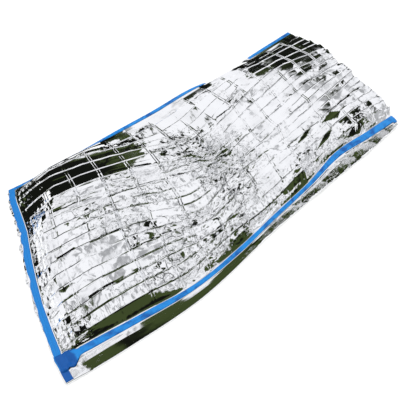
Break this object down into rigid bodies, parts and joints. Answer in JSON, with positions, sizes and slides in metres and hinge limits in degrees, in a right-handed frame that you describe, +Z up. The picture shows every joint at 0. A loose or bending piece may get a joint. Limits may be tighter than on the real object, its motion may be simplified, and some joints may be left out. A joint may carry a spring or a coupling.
{
  "type": "emergency foil blanket",
  "caption": "Foil blanket in bag form, two layers of crinkled silver film joined with blue tape on three sides, lying open on a flat surface with its mouth at one end.",
  "frame": {"origin": "centre of the bounding box in plan, on the surface that the bag lies on", "axes": "+X from the taped foot end to the open mouth, +Y from the near long side to the far one, +Z up"},
  "size_m": [2.183, 1.0118, 0.0936],
  "materials": {
    "top_film": "bright mirror film with fine creases",
    "bottom_film": "bright mirror film with fine creases",
    "foot_tape": "semi-gloss tape",
    "near_tape": "semi-gloss tape",
    "far_tape": "semi-gloss tape"
  },
  "bodies": {
    "root": {"top_panel": "top_film", "bottom_panel": "bottom_film", "foot_tape": "foot_tape", "near_tape": "near_tape", "far_tape": "far_tape"}
  },
  "joints": []
}
